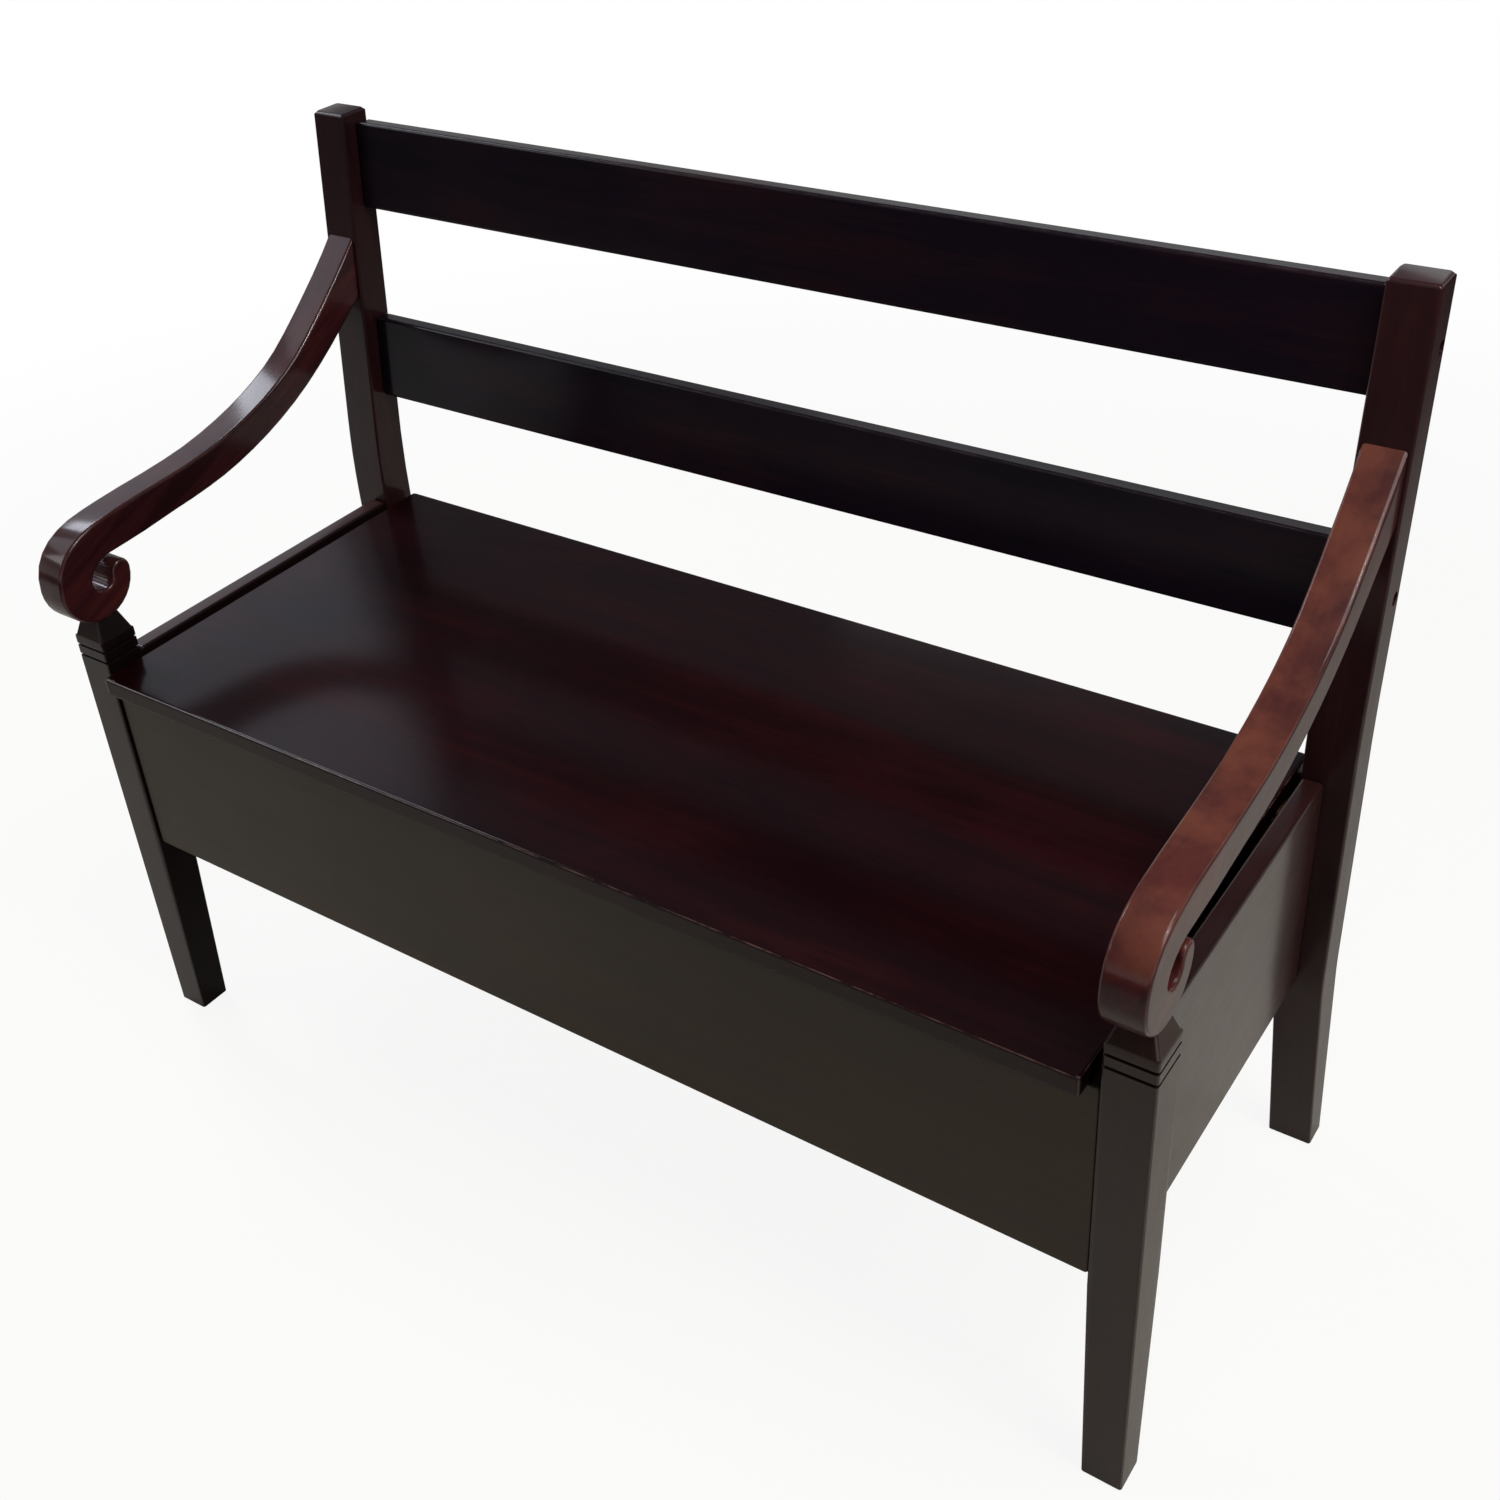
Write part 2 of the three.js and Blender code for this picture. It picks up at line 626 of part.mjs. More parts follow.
function addBottom() {
  const half = halfLength - postWidth - seatGap;
  const [yLow, yHigh] = [frontPanelBack + seatGap, rearPanelFront - seatGap];
  const [zLow, zHigh] = [boxBottom + cleatLift, boxBottom + cleatLift + cleatSize];
  addPiece('bottom_panel', box(-half, half, yLow, yHigh, zHigh + seatGap, bottomTop), innerFinish);
  const longEnd = half - cleatEndGap;
  addPiece('cleat_front', box(-longEnd, longEnd, yLow, yLow + cleatSize, zLow, zHigh), innerFinish);
  addPiece('cleat_rear', box(-longEnd, longEnd, yHigh - cleatSize, yHigh, zLow, zHigh), innerFinish);
  for (const [side, end] of [[-1, 'left'], [1, 'right']]) {
    const far = halfLength - legWidth - seatGap;
    const [endLow, endHigh] = [legDepth + cleatEndGap, frameDepth - cleatEndGap];
    const cleat = endBox(side, far - cleatSize, far, endLow, endHigh, zLow, zHigh);
    addPiece(`cleat_${end}`, cleat, innerFinish);
  }
}

// Lid and hinges

const hingePlaces = [
  { name: 'left', x: hingeSetback - halfLength },
  { name: 'middle', x: 0 },
  { name: 'right', x: halfLength - hingeSetback },
];

function hingeMortise(x, zLow, zHigh) {
  const half = hingeLength / 2 + seatGap;
  return box(x - half, x + half, hingeAxisY - hingeReach - seatGap, hingeAxisY + cutOverrun, zLow, zHigh);
}

function addLid() {
  const depth = lidRear + lidFrontReach;
  const length = 2 * (halfLength - postWidth - lidEndGap);
  const board = easedBoard(length, depth, lidThickness, lidEdge, lidCorner);
  board.translate(0, lidRear - depth / 2, seatHeight - lidThickness / 2);
  const ceiling = hingeAxisZ + leafGap / 2 + leafThickness + seatGap;
  const mortises = hingePlaces.map(({ x }) => hingeMortise(x, lidUnderside - cutOverrun, ceiling));
  addPiece('seat_lid', cut(board, mortises), lidFinish);
}

// One leaf about its hinge line: level is -1 below the line and 1 above it
function hingeLeaf(level, firstKnuckle) {
  const pitch = hingeLength / knuckleCount;
  const near = leafGap / 2;
  const far = near + leafThickness;
  const [zLow, zHigh] = level < 0 ? [-far, -near] : [near, far];
  const plateRear = -knuckleRadius - knuckleGap;
  const pieces = [box(-hingeLength / 2, hingeLength / 2, -hingeReach, plateRear, zLow, zHigh)];
  for (let i = firstKnuckle; i < knuckleCount; i += 2) {
    const from = -hingeLength / 2 + pitch * i + (i === 0 ? 0 : knuckleGap / 2);
    const to = -hingeLength / 2 + pitch * (i + 1) - (i === knuckleCount - 1 ? 0 : knuckleGap / 2);
    pieces.push(box(from, to, plateRear - leafThickness, 0, zLow, zHigh));
    pieces.push(rod('x', knuckleRadius, from, to));
  }
  const bore = rod('x', pinRadius + pinClearance, -hingeLength, hingeLength);
  return cut(join(pieces), [bore]);
}

function hingePin() {
  const half = hingeLength / 2 + seatGap + pinHeadThickness;
  const shank = rod('x', pinRadius, -half, half);
  const heads = [-1, 1].map((end) => (
    rod('x', pinHeadRadius, end * (half - pinHeadThickness), end * half)));
  return join([shank, ...heads]);
}

function addHinges() {
  for (const { name, x } of hingePlaces) {
    const group = new THREE.Group();
    group.position.set(x, hingeAxisY, hingeAxisZ);
    bench.add(group);
    addPiece(`hinge_${name}_fixed_leaf`, hingeLeaf(-1, 0), hingeSteel, group);
    addPiece(`hinge_${name}_lid_leaf`, hingeLeaf(1, 1), hingeSteel, group);
    addPiece(`hinge_${name}_pin`, hingePin(), hingeSteel, group);
  }
}

// Assembly
for (const [side, end] of [[-1, 'left'], [1, 'right']]) {
  addPiece(`front_leg_${end}`, frontLeg(side), frameFinish);
  addPiece(`rear_post_${end}`, rearPost(side), frameFinish);
  addArm(side, end);
  addCorner(side, end, 'front');
  addCorner(side, end, 'rear');
}
addRail('top', topRailHeight);
addRail('middle', middleRailHeight);
addPanels();
addBottom();
addLid();
addHinges();

// The origin lies on the floor, under the middle of the bench's overall depth
const benchFront = scrollOffset - scrollRadius;
const benchBack = Math.max(postBackAt(benchHeight - postTopEase), postBackAt(footEase));
bench.position.y = -(benchFront + benchBack) / 2;

export default bench;
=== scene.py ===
import math

import bmesh
import bpy
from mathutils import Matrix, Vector


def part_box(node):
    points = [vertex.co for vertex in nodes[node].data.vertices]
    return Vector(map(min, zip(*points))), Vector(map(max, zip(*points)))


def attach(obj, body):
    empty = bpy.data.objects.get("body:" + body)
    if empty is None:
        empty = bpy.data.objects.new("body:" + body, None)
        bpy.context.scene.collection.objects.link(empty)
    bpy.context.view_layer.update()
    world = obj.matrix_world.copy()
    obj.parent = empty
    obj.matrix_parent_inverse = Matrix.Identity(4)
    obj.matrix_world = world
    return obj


# Looks of the deacons bench: dark lacquered wood, black bolts, satin hinges.
# Metres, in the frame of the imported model: +X right, +Y back, +Z up.

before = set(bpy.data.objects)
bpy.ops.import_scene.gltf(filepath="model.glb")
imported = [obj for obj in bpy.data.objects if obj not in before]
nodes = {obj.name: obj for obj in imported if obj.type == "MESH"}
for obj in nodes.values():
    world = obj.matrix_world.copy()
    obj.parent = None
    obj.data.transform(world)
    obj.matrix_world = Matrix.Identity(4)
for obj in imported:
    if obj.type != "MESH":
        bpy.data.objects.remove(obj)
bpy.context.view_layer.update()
scene = bpy.context.scene
mm = 0.001
print("bench loaded,", len(nodes), "parts")


# Camera, where the bench was photographed from
cameraSet = {
    "place": (0.9035, -1.1163, 1.4247),
    "turn": (57.0331, 3.6487, 34.7130),  # degrees
    "lens": 43.923,  # lens and sensor in millimetres
    "sensor": 36,
    "shift": (0.01915, -0.0489),
    "reach": 200,
}


def makeCamera():
    data = bpy.data.cameras.new("photoCamera")
    data.lens = cameraSet["lens"]
    data.sensor_width = cameraSet["sensor"]
    data.shift_x, data.shift_y = cameraSet["shift"]
    data.clip_end = cameraSet["reach"]
    camera = bpy.data.objects.new("photoCamera", data)
    camera.location = cameraSet["place"]
    camera.rotation_euler = [math.radians(angle) for angle in cameraSet["turn"]]
    scene.collection.objects.link(camera)
    scene.camera = camera


makeCamera()
scene.view_settings.view_transform = "Standard"
print("camera placed")


# Colours are written as in a picture, two hex digits a channel, and turned linear here
def paint(code):
    values = [int(code[i:i + 2], 16) / 255 for i in (0, 2, 4)]
    return tuple(v / 12.92 if v <= 0.04045 else ((v + 0.055) / 1.055) ** 2.4 for v in values)


class Wire:  # one output socket that takes part in plain arithmetic
    def __init__(self, finish, socket):
        self.finish = finish
        self.socket = socket

    def maths(self, operation, *values):
        return self.finish.node("Math", {"operation": operation}, dict(enumerate(values)))

    def __add__(self, other):
        return self.maths("ADD", self, other)

    def __radd__(self, other):
        return self.maths("ADD", other, self)

    def __sub__(self, other):
        return self.maths("SUBTRACT", self, other)

    def __rsub__(self, other):
        return self.maths("SUBTRACT", other, self)

    def __mul__(self, other):
        return self.maths("MULTIPLY", self, other)

    def __rmul__(self, other):
        return self.maths("MULTIPLY", other, self)

    def __pow__(self, other):
        return self.maths("POWER", self, other)

    def __abs__(self):
        return self.maths("ABSOLUTE", self)

    def larger(self, other):
        return self.maths("MAXIMUM", self, other)


class Finish:  # a node tree, with one way to add any node
    def __init__(self, tree):
        self.tree = tree
        tree.nodes.clear()

    def node(self, kind, settings=None, sockets=None, output=0):
        made = self.tree.nodes.new("ShaderNode" + kind)
        for key, value in (settings or {}).items():
            if key == "stops":
                self.setStops(made.color_ramp, value)
            else:
                setattr(made, key, value)
        for key, value in (sockets or {}).items():
            if isinstance(value, Wire):
                self.tree.links.new(value.socket, made.inputs[key])
            else:
                made.inputs[key].default_value = value
        return Wire(self, made.outputs[output]) if made.outputs else None

    def setStops(self, ramp, stops):
        while len(ramp.elements) < len(stops):
            ramp.elements.new(1)
        for element, (position, colour) in zip(ramp.elements, stops):
            element.position = position
            element.color = (*colour, 1)

    def mix(self, factor, first, second):  # 6, 7 and 2 are a Mix node's sockets for colours
        ends = [end if isinstance(end, Wire) else (*end, 1) for end in (first, second)]
        return self.node("Mix", {"data_type": "RGBA"}, {0: factor, 6: ends[0], 7: ends[1]}, 2)

    def noise(self, place, scale, detail=3, roughness=0.55, distortion=0):
        return self.node("TexNoise", None, {
            "Vector": place, "Scale": scale, "Detail": detail, "Roughness": roughness,
            "Distortion": distortion})

    def rise(self, value, low, high):  # 0 up to low, 1 from high, smooth between
        return self.node("MapRange", {"interpolation_type": "SMOOTHSTEP"}, {
            "Value": value, "From Min": low, "From Max": high})

    def vector(self, operation, first, second):
        return self.node("VectorMath", {"operation": operation}, {0: first, 1: second})

    def reach(self, vector):
        return self.node("VectorMath", {"operation": "LENGTH"}, {0: vector}, "Value")

    def axes(self, vector):
        split = self.node("SeparateXYZ", None, {0: vector})
        return [Wire(self, split.socket.node.outputs[i]) for i in range(3)]

    def place(self):  # position on the bench at rest
        return self.node("TexCoord", output="Object")

    def facing(self):  # direction of the surface, in the piece's own axes
        return self.axes(self.node("TexCoord", output="Normal"))

    def show(self, shader, kind="OutputMaterial"):
        self.node(kind, None, {"Surface": shader})


def newFinish(name):
    material = bpy.data.materials.new(name)
    material.use_nodes = True
    return material, Finish(material.node_tree)


# Rays that show the backdrop: straight to the camera, in a mirror, or through glass
def backdropRays(finish):
    rays = finish.node("LightPath").socket.node.outputs
    names = ("Is Camera Ray", "Is Glossy Ray", "Is Transmission Ray")
    return [Wire(finish, rays[name]) for name in names]


# Floor: a sheet of pale paper under the bench and darker beyond, painted shade that mirrors see,
# white to the camera.
# Lifts say how much of it glows for each kind of ray; spans are metres from the middle.
floorSet = {
    "half": 30, "paper": "f3ecdb", "beyond": "6a6968", "bounce": "8e8c88",
    "tooth": 3, "toothDepth": 0.05, "fade": (1.0, 2.8),
    "seenLift": 0.9, "mirrorLift": 0.12, "under": (0.25, 0.65),
    "litLift": 0.8, "litSlant": 0.35, "litFrom": (1.05, 1.45), "litTo": (3.1, 4.2),
}


def makeFloor():
    look = floorSet
    mesh = bpy.data.meshes.new("floor")
    half = look["half"]
    corners = [(-half, -half, 0), (half, -half, 0), (half, half, 0), (-half, half, 0)]
    mesh.from_pydata(corners, [], [(0, 1, 2, 3)])
    floor = bpy.data.objects.new("floor", mesh)
    scene.collection.objects.link(floor)
    material, finish = newFinish("floorPaper")
    camera, glossy, through = backdropRays(finish)
    mirrored = glossy.larger(through)
    place = finish.place()
    distance = finish.reach(place)
    far = finish.rise(distance, *look["fade"])
    tooth = finish.noise(place, look["tooth"], detail=2) * look["toothDepth"]
    paper = finish.mix(tooth, paint(look["paper"]), paint(look["bounce"]))
    ground = finish.mix(far, paper, paint(look["beyond"]))
    colour = finish.mix(camera.larger(mirrored), paint(look["bounce"]), ground)
    seen = camera * (look["seenLift"] + (1 - look["seenLift"]) * far)
    around = look["mirrorLift"] * (1 - far) * finish.rise(distance, *look["under"])
    across, along = finish.axes(place)[:2]  # mirrors also see a painted pool of light, a glowing stretch at the left
    lit = finish.rise(look["litSlant"] * along - across, *look["litFrom"])
    lit = lit * (1 - finish.rise(distance, *look["litTo"]))
    lift = seen.larger(mirrored * (around + look["litLift"] * lit))
    cloth = finish.node("BsdfDiffuse", None, {"Color": colour})
    white = finish.node("Emission", None, {"Color": (1, 1, 1, 1), "Strength": 1})
    finish.show(finish.node("MixShader", None, {0: lift, 1: cloth, 2: white}))
    mesh.materials.append(material)


makeFloor()


# Studio: white at the horizon, greyer overhead, and less of it on dull surfaces
skySet = {"band": (0.06, 0.34), "low": "ffffff", "high": "75767d", "fill": 0.34}


def makeSky():
    world = bpy.data.worlds.new("studio")
    world.use_nodes = True
    scene.world = world
    sky = Finish(world.node_tree)
    camera, glossy, through = backdropRays(sky)
    height = sky.axes(sky.node("TexCoord", output="Generated"))[2]
    glow = sky.mix(sky.rise(height, *skySet["band"]), paint(skySet["low"]), paint(skySet["high"]))
    dim = sky.node("Background", None, {"Color": glow, "Strength": skySet["fill"]})
    bright = sky.node("Background", None, {"Color": glow, "Strength": 1})
    seen = camera.larger(glossy).larger(through)
    sky.show(sky.node("MixShader", None, {0: seen, 1: dim, 2: bright}), "OutputWorld")


makeSky()


# Softboxes; glow is the brightness of the cloth, where 1 is white
lampSet = {
    "overheadBox": {
        "place": (0.95, -0.2, 2.2), "aim": (0.95, -0.2, 0), "size": (1, 0.9), "glow": 5.8},
    "leftStrip": {
        "place": (-2.35, 0.45, 2.55), "aim": (-2.35, 0.45, 0), "size": (1.7, 0.5), "glow": 16,
        "tint": "eef3ff"},
    "leftBox": {
        "place": (-2.4, 0.9, 1.8), "aim": (-0.4, 0, 0.4), "size": (1.3, 1), "glow": 1.05,
        "tint": "eaf2ff"},
    "leftWing": {
        "place": (-2.4, -0.75, 2.35), "aim": (-0.5, 0.1, 0.7), "size": (0.9, 0.9), "glow": 2.4,
        "tint": "eaf0ff"},
    "rightBox": {
        "place": (2.4, -0.3, 2.2), "aim": (2, -0.3, 0), "size": (1.1, 1.1), "glow": 6.2},
    "rearStrip": {
        "place": (-0.1, 2, 1.45), "aim": (0.1, 0.2, 0.8), "size": (1.8, 0.35), "glow": 1.2},
    "frontBox": {
        "place": (-2.3, -1.8, 1.9), "aim": (-0.1, -0.2, 0.55), "size": (1, 0.7), "glow": 5.5},
    "smallRight": {
        "place": (1.48, -0.34, 2.4), "aim": (0.57, -0.2, 0.6), "size": (0.14, 0.14), "glow": 90},
}


def makeLamps():
    for name, look in lampSet.items():
        data = bpy.data.lights.new(name, "AREA")
        data.shape = "RECTANGLE"
        data.size, data.size_y = look["size"]
        data.energy = look["glow"] * math.pi * data.size * data.size_y
        data.color = paint(look.get("tint", "ffffff"))
        lamp = bpy.data.objects.new(name, data)
        lamp.location = look["place"]
        beam = Vector(look["aim"]) - Vector(look["place"])
        lamp.rotation_euler = beam.to_track_quat("-Z", "Y").to_euler()
        scene.collection.objects.link(lamp)


makeLamps()
print("floor, studio and lamps ready")


# Smooth shading over eased edges and swept faces, while corners over the angle stay crisp
shadingSet = {
    "weld": 0.01 * mm, "flat": math.radians(0.6), "crisp": math.radians(50), "weight": 90,
}


def makeEasing():
    group = bpy.data.node_groups.new("easedShading", "GeometryNodeTree")
    for way in ("INPUT", "OUTPUT"):
        group.interface.new_socket("Geometry", in_out=way, socket_type="NodeSocketGeometry")
    start = group.nodes.new("NodeGroupInput")
    faces = group.nodes.new("GeometryNodeSetShadeSmooth")
    angle = group.nodes.new("GeometryNodeInputMeshEdgeAngle")
    sharp = group.nodes.new("FunctionNodeCompare")
    sharp.operation = "GREATER_THAN"
    sharp.inputs[1].default_value = shadingSet["crisp"]
    edges = group.nodes.new("GeometryNodeSetShadeSmooth")
    edges.domain = "EDGE"
    edges.inputs["Shade Smooth"].default_value = False
    end = group.nodes.new("NodeGroupOutput")
    link = group.links.new
    link(start.outputs[0], faces.inputs["Geometry"])
    link(faces.outputs[0], edges.inputs["Geometry"])
    link(angle.outputs["Unsigned Angle"], sharp.inputs[0])
    link(sharp.outputs[0], edges.inputs["Selection"])
    link(edges.outputs[0], end.inputs[0])
    return group


easing = makeEasing()


def easeShading(part):
    weld = part.modifiers.new("weld", "WELD")
    weld.merge_threshold = shadingSet["weld"]
    flats = part.modifiers.new("flats", "DECIMATE")
    flats.decimate_type = "DISSOLVE"
    flats.angle_limit = shadingSet["flat"]
    part.modifiers.new("eased", "NODES").node_group = easing
    weighted = part.modifiers.new("weighted", "WEIGHTED_NORMAL")
    weighted.mode = "FACE_AREA"
    weighted.weight = shadingSet["weight"]
    weighted.keep_sharp = True


# Where an edge is eased, from how far the surface turns away from the piece's own axes
edgeBand = (0.1, 0.27)


def easedEdge(finish, swept):
    x, y, z = [abs(part) for part in finish.facing()]
    if swept:  # faces across X, and a skin that runs round X
        return finish.rise(1 - x.larger((1 - x * x) ** 0.5), *edgeBand)
    return finish.rise(1 - x.larger(y).larger(z), *edgeBand)


# Painted shade on faces that lie in shade: upper ones, ends, or those facing inward
paintedShadeBands = {"upper": (0.5, 0.9), "ends": (0.6, 0.95), "inner": (0.2, 0.4)}


def paintedShadeFaces(finish, side):
    x, y, z = finish.facing()
    if side == "upper":
        return finish.rise(z, *paintedShadeBands[side])
    if side == "ends":
        return finish.rise(abs(x), *paintedShadeBands[side])
    across = finish.axes(finish.place())[0]
    return finish.rise(-1 * across * x, *paintedShadeBands[side])


# Position along the grain: stretched on one axis, turned to the way the board was cut
def grainPlace(finish, look, stretch):
    scale = [stretch if axis == look["grain"] else 1 for axis in "xyz"]
    return finish.node("Mapping", {"vector_type": "TEXTURE"}, {
        "Vector": finish.place(), "Location": look["seed"],
        "Rotation": (math.radians(look.get("tilt", 0)), 0, 0), "Scale": scale})


# Stained wood under semi-gloss lacquer, lighter along its eased edges: partly rubbed wear, partly
# a painted highlight.
# Marks are noise scales, stretches run along the grain, bands are where a mask rises, and
# the fibre is so many times finer than the streaks.
lacquerSet = {
    "cloudMarks": 6, "wearAndLightMarks": 15, "hazeMarks": 21, "wearAndHighlightMarks": 34, "poreMarks": 760,
    "figureStretch": 9, "streakStretch": 18, "poreStretch": 22, "fibreStretch": 26,
    "fibreFiner": 4,
    "poreBand": (0.6, 0.74), "poreStain": 0.45, "wearAndHighlightBand": (0.4, 0.66),
    "topBand": (0.15, 0.7), "wearAndLightBand": (0.36, 0.66), "wearAndLightLeast": 0.2, "wearAndLightMore": 0.75,
    "eyeBand": (14 * mm, 20 * mm), "grooveBand": (0.9 * mm, 2 * mm), "grooveShade": 0.85,
    "shade": "080405", "paintedShadeDepth": 0.8, "relief": 0.12 * mm,
    "leastCoat": 0.86, "hazeCoat": 0.28, "edgeCoat": 1.2,
    "leastRough": 0.3, "hazeRough": 0.24, "streakRough": 0.12,
}


def lacquered(name, look):
    common = lacquerSet
    material, finish = newFinish(name)
    place = finish.place()
    alongFigure = grainPlace(finish, look, common["figureStretch"])
    alongStreak = grainPlace(finish, look, common["streakStretch"])
    alongFibre = grainPlace(finish, look, common["fibreStretch"])
    alongPore = grainPlace(finish, look, common["poreStretch"])
    fineness = look["streak"] * common["fibreFiner"]
    figure = finish.noise(alongFigure, look["figure"], detail=3, roughness=0.5, distortion=0.6)
    streak = finish.noise(alongStreak, look["streak"], detail=4, roughness=0.62, distortion=0.2)
    fibre = finish.noise(alongFibre, fineness, detail=3, roughness=0.7)
    cloud = finish.noise(place, common["cloudMarks"], detail=3, roughness=0.5)
    tone = 0.5 * figure + 0.3 * streak + 0.15 * fibre + 0.35 * cloud - 0.15  # 0.5 on average
    spread = look.get("spread", 0.2)
    stain = finish.node("ValToRGB", {"stops": [
        (0.5 - spread, paint(look["dark"])), (0.5, paint(look["mid"])),
        (0.5 + spread, paint(look["light"]))]}, {0: tone})
    pore = finish.noise(alongPore, common["poreMarks"], detail=2, roughness=0.6)
    pore = finish.rise(pore, *common["poreBand"])
    stained = finish.mix(pore * common["poreStain"], stain, paint(look["dark"]))
    if "wornAndLitTop" in look:  # lighter on top, partly wear where hands rest and partly painted light from above, but not inside the scroll's eye
        top = finish.rise(finish.facing()[2], *common["topBand"])
        wearAndLight = finish.noise(place, common["wearAndLightMarks"], detail=4, roughness=0.6)
        wearAndLight = finish.rise(wearAndLight, *common["wearAndLightBand"])
        patch = common["wearAndLightLeast"] + common["wearAndLightMore"] * wearAndLight
        beside = finish.vector("SUBTRACT", place, (0, *look["eye"]))
        flat = finish.vector("MULTIPLY", beside, (0, 1, 1))
        outside = finish.rise(finish.reach(flat), *common["eyeBand"])
        stained = finish.mix(top * patch * outside, stained, paint(look["wornAndLitTop"]))
    edge = easedEdge(finish, look.get("swept"))
    # edges lighter in broken patches: partly rubbed wear, partly a painted highlight
    wearAndHighlight = finish.noise(place, common["wearAndHighlightMarks"], detail=4, roughness=0.7)
    wearAndHighlight = finish.rise(wearAndHighlight, *common["wearAndHighlightBand"])
    colour = finish.mix(edge * wearAndHighlight * look["rub"], stained, paint(look["wornAndHighlit"]))
    if "grooves" in look:  # painted shade in the cut grooves
        height = finish.axes(place)[2]
        for level in look["grooves"]:
            # painted shade: darker in a narrow band at each groove's height
            grooveShadow = 1 - finish.rise(abs(height - level), *common["grooveBand"])
            colour = finish.mix(grooveShadow * common["grooveShade"], colour, paint(common["shade"]))
    haze = finish.noise(place, common["hazeMarks"], detail=5, roughness=0.65)
    coat = look["coat"] * (common["leastCoat"] + common["hazeCoat"] * haze)
    coat = coat * (1 + common["edgeCoat"] * edge)
    # painted shade: faces in shade get a darker colour and less coat
    if "paintedShade" in look:
        paintedShade = paintedShadeFaces(finish, look["paintedShade"])
        colour = finish.mix(paintedShade * common["paintedShadeDepth"], colour, paint(common["shade"]))
        coat = coat * (1 - common["paintedShadeDepth"] * paintedShade)
    rough = common["leastRough"] + common["hazeRough"] * haze + common["streakRough"] * streak
    finish.show(finish.node("BsdfPrincipled", None, {
        "Base Color": colour, "Roughness": rough, "Specular IOR Level": look["sheen"],
        "Coat Weight": coat, "Coat Roughness": look["gloss"],
        "Normal": finish.node("Bump", None, {
            "Height": 0.55 * streak + 0.45 * fibre - 0.8 * pore,
            "Distance": common["relief"], "Strength": 0.5})}))
    return material


# A look may name faces that get painted shade: inward ones, ends or upper ones
frameLook = {
    "grain": "z", "seed": (0.31, 1.7, 0.4), "figure": 26, "streak": 150,
    "dark": "1c0f0d", "mid": "291612", "light": "362019", "wornAndHighlit": "54302a", "rub": 0.25,
    "coat": 0.36, "sheen": 0.06, "gloss": 0.15,
}
legLook = dict(frameLook, coat=0.41, paintedShade="inner", grooves=(473 * mm, 485 * mm))
postLook = dict(
    frameLook, seed=(1.9, 0.2, 0.8), dark="1c0c0e", mid="2a1315", light="36191a", coat=0.33)
armLook = {
    "grain": "y", "tilt": 24, "seed": (2.1, 0.6, 1.2), "figure": 42, "streak": 190,
    "dark": "240d10", "mid": "371518", "light": "4b1f1d", "wornAndHighlit": "7a463a", "rub": 0.35,
    "spread": 0.14, "coat": 0.38, "sheen": 0.06, "gloss": 0.13, "swept": True,
    "wornAndLitTop": "673729", "eye": (-201.5 * mm, 558.3 * mm),
}
# The left arm's top gets a darker copy of that colour: lit and shaded copies of one lacquer,
# painted light and shade
leftArmLook = dict(armLook, seed=(1.1, 2.6, 0.3), wornAndLitTop="42231e")
railLook = {
    "grain": "x", "seed": (0.9, 3.2, 0.2), "figure": 24, "streak": 140,
    "dark": "0b080f", "mid": "150c15", "light": "261217", "wornAndHighlit": "4a3c3e", "rub": 0.5,
    "coat": 0.25, "sheen": 0.03, "gloss": 0.15,
}
lidLook = {
    "grain": "x", "seed": (4.4, 0.3, 2.6), "figure": 20, "streak": 120,
    "dark": "130204", "mid": "1a0305", "light": "26060a", "wornAndHighlit": "8a6a5c", "rub": 0.5,
    "spread": 0.13, "coat": 0.34, "sheen": 0.02, "gloss": 0.14, "paintedShade": "ends",
}
frontLook = {
    "grain": "x", "seed": (1.4, 2.3, 3.6), "figure": 22, "streak": 130,
    "dark": "281c11", "mid": "322516", "light": "3c2d1b", "wornAndHighlit": "4e3a2a", "rub": 0.25,
    "coat": 0.27, "sheen": 0.06, "gloss": 0.2, "paintedShade": "upper",
}
endLook = {
    "grain": "y", "seed": (3.3, 1.1, 0.7), "figure": 24, "streak": 140,
    "dark": "1e0d0d", "mid": "2b1312", "light": "381a17", "wornAndHighlit": "54302a", "rub": 0.25,
    "coat": 0.42, "sheen": 0.08, "gloss": 0.14, "paintedShade": "inner",
}

# Unfinished pine of the cleats, corner blocks and dowels, and the thin ply of the bottom
pineLook = {
    "grain": "z", "seed": (0.2, 0.5, 0.9), "stretch": 30, "rings": 210, "fibre": 900,
    "early": "b48a5e", "late": "8a5f3a", "knot": "5e3c24",
    "grime": 14, "grimeBand": (0.45, 0.8), "grimeDepth": 0.4, "relief": 0.25 * mm,
}
plyLook = dict(pineLook, grain="x", seed=(1.2, 0.1, 0.3), early="ab8458", late="8f6a44", rings=60)


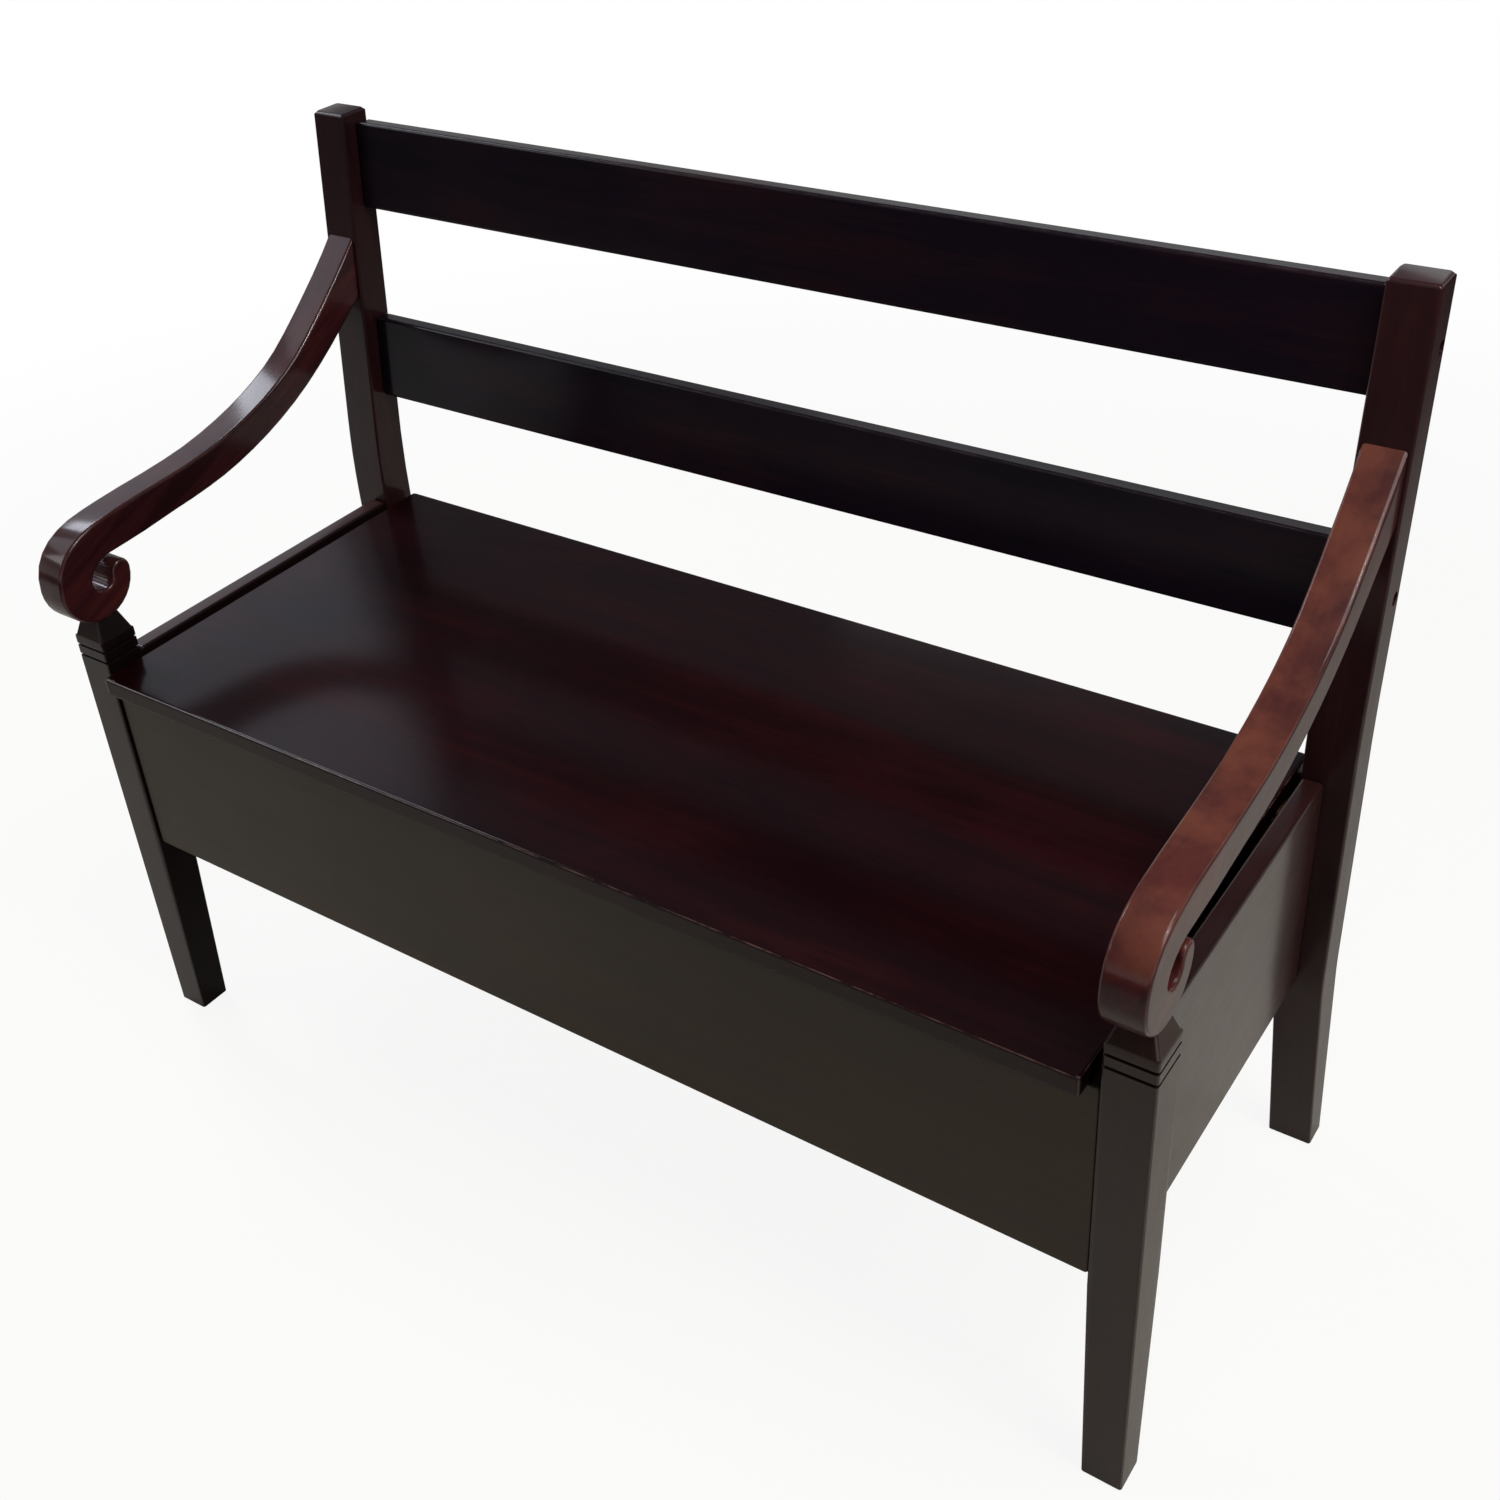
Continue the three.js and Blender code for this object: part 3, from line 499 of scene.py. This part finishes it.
def rawWood(name, look):
    material, finish = newFinish(name)
    along = grainPlace(finish, look, look["stretch"])
    bands = finish.noise(along, look["rings"], detail=2, roughness=0.5, distortion=0.8)
    fibre = finish.noise(along, look["fibre"], detail=3, roughness=0.7)
    grime = finish.noise(finish.place(), look["grime"], detail=4, roughness=0.6)
    grime = finish.rise(grime, *look["grimeBand"])
    wood = finish.node("ValToRGB", {"stops": [
        (0.35, paint(look["late"])), (0.52, paint(look["early"])), (0.75, paint(look["early"]))]},
        {0: bands * 0.8 + fibre * 0.2})
    colour = finish.mix(grime * look["grimeDepth"], wood, paint(look["knot"]))
    finish.show(finish.node("BsdfPrincipled", None, {
        "Base Color": colour, "Roughness": 0.62 + 0.2 * fibre, "Specular IOR Level": 0.3,
        "Normal": finish.node("Bump", None, {
            "Height": fibre + bands * 0.5, "Distance": look["relief"], "Strength": 0.6})}))
    return material


# Black bolts and nuts, rubbed bright on their rims; satin plated hinges and screws
metalSet = {
    "patchMarks": 240, "scratchMarks": 2600, "scratchStretch": (24, 1, 1),
    "scratchTurn": (0.2, 0.1, 0.3), "patchBand": (0.5, 0.68), "scratchBand": (0.58, 0.7),
    "scratchDepth": 0.35, "relief": 0.05 * mm,
}
boltLook = {"skin": "161617", "bare": "6f6c68", "rub": 0.7, "rough": 0.42, "metal": 0.85}
hingeLook = {"skin": "8b857a", "bare": "b7b0a2", "rub": 0.5, "rough": 0.36, "metal": 1.0}


def metalSkin(name, look):
    common = metalSet
    material, finish = newFinish(name)
    place = finish.place()
    patch = finish.noise(place, common["patchMarks"], detail=4, roughness=0.7)
    brushed = finish.node("Mapping", {"vector_type": "TEXTURE"}, {
        "Vector": place, "Scale": common["scratchStretch"], "Rotation": common["scratchTurn"]})
    scratch = finish.noise(brushed, common["scratchMarks"], detail=2, roughness=0.6)
    rubbed = finish.rise(patch, *common["patchBand"]) * look["rub"]
    marks = finish.rise(scratch, *common["scratchBand"]) * common["scratchDepth"]
    colour = finish.mix(rubbed.larger(marks), paint(look["skin"]), paint(look["bare"]))
    finish.show(finish.node("BsdfPrincipled", None, {
        "Base Color": colour, "Metallic": look["metal"],
        "Roughness": look["rough"] + 0.18 * patch - 0.1 * marks,
        "Normal": finish.node("Bump", None, {
            "Height": scratch * 0.5 + patch, "Distance": common["relief"], "Strength": 0.4})}))
    return material


# The first word found in a part's name says what it wears
wardrobe = {
    "dowel": rawWood("dowelPine", pineLook),
    "bolt": metalSkin("blackBolts", boltLook),
    "nut": metalSkin("blackNuts", boltLook),
    "hinge": metalSkin("satinHinges", hingeLook),
    "cleat": rawWood("cleatPine", dict(pineLook, grain="x")),
    "block": rawWood("blockPine", pineLook),
    "bottom": rawWood("bottomPly", plyLook),
    "leg": lacquered("legLacquer", legLook),
    "post": lacquered("postLacquer", postLook),
    "rail": lacquered("railLacquer", railLook),
    "arm_left": lacquered("leftArmLacquer", leftArmLook),
    "arm_right": lacquered("armLacquer", armLook),
    "lid": lacquered("lidLacquer", lidLook),
    "front_panel": lacquered("frontLacquer", frontLook),
    "rear_panel": lacquered("rearLacquer", dict(frontLook, seed=(0.4, 1.3, 2.2))),
    "end_panel": lacquered("endLacquer", endLook),
}
flatParts = ("cleat", "block", "bottom", "rear_panel")  # no eased edges, so no smooth shading

for name, part in nodes.items():
    word = next(word for word in wardrobe if word in name)
    part.data.materials.clear()
    part.data.materials.append(wardrobe[word])
    if word not in flatParts:
        easeShading(part)
print("finishes on", len(nodes), "parts")


# Three screws in each hinge leaf, heads just proud of the leaf; the cross slot is a flat dark
# sheet on the head, painted shade in place of a recess
screwSet = {
    "radius": 2.7 * mm, "proud": 0.1 * mm, "rim": 0.03 * mm, "sunk": 0.6 * mm, "sides": 28,
    "crown": 0.62, "shoulder": (0.9, 0.8),  # shares of the radius, and of the height
    "spread": 22 * mm, "inset": 6.2 * mm, "margin": 1 * mm, "turn": 0.5, "twist": 0.9,
    "slotHalf": 1.5 * mm, "slotWidth": 0.32 * mm, "lift": 0.01 * mm,
}
# dark metal of the slot strips: painted shade of the recess
slotLook = {"skin": "242321", "bare": "3a3834", "rub": 0.4, "rough": 0.6, "metal": 0.6}
screwSteel = metalSkin("screwSteel", dict(hingeLook, skin="9a9488"))
slotShade = metalSkin("slotShade", slotLook)


def addScrew(mesh, centre, face, turn):
    look = screwSet
    radius, proud = look["radius"], look["proud"]
    shoulder, drop = look["shoulder"]
    profile = [(0, proud), (look["crown"], proud), (shoulder, proud * drop),
               (1, look["rim"]), (1, -look["sunk"])]
    rings = []
    for share, height in profile:
        count = 1 if share == 0 else look["sides"]
        rings.append([mesh.verts.new((
            centre[0] + radius * share * math.cos(2 * math.pi * k / count),
            centre[1] + radius * share * math.sin(2 * math.pi * k / count) * face,
            centre[2] + height * face)) for k in range(count)])
    for inner, outer in zip(rings, rings[1:]):
        for k in range(len(outer)):
            after = (k + 1) % len(outer)
            corners = [inner[k % len(inner)], outer[k], outer[after]]
            if len(inner) > 1:
                corners.append(inner[after])
            mesh.faces.new(corners).smooth = True
    # the cross slot: two flat dark strips just over the head, painted shade
    half, width = look["slotHalf"], look["slotWidth"]
    for axis in (0, math.pi / 2):
        c, s = math.cos(turn + axis), math.sin(turn + axis)
        flat = [(half, width), (-half, width), (-half, -width), (half, -width)]
        slot = mesh.faces.new([mesh.verts.new((
            centre[0] + c * u - s * v, centre[1] + (s * u + c * v) * face,
            centre[2] + (proud + look["lift"]) * face)) for u, v in flat])
        slot.material_index = 1


def addScrews():
    look = screwSet
    for hinge in ("left", "middle", "right"):
        for leaf, body, face in (("fixed_leaf", "bench", 1), ("lid_leaf", "lid", -1)):
            part = nodes[f"hinge_{hinge}_{leaf}"]
            low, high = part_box(part.name)
            plate = [v.co.z for v in part.data.vertices if v.co.y < low.y + look["margin"]]
            level = max(plate) if face > 0 else min(plate)
            middle = (low.x + high.x) / 2
            mesh = bmesh.new()
            for step in (-1, 0, 1):
                centre = (middle + step * look["spread"], low.y + look["inset"], level)
                addScrew(mesh, centre, face, look["turn"] + look["twist"] * step + face)
            data = bpy.data.meshes.new(f"hinge_{hinge}_{leaf}_screws")
            mesh.to_mesh(data)
            mesh.free()
            data.materials.append(screwSteel)
            data.materials.append(slotShade)
            screws = bpy.data.objects.new(data.name, data)
            scene.collection.objects.link(screws)
            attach(screws, body)


addScrews()
print("hinge screws in")
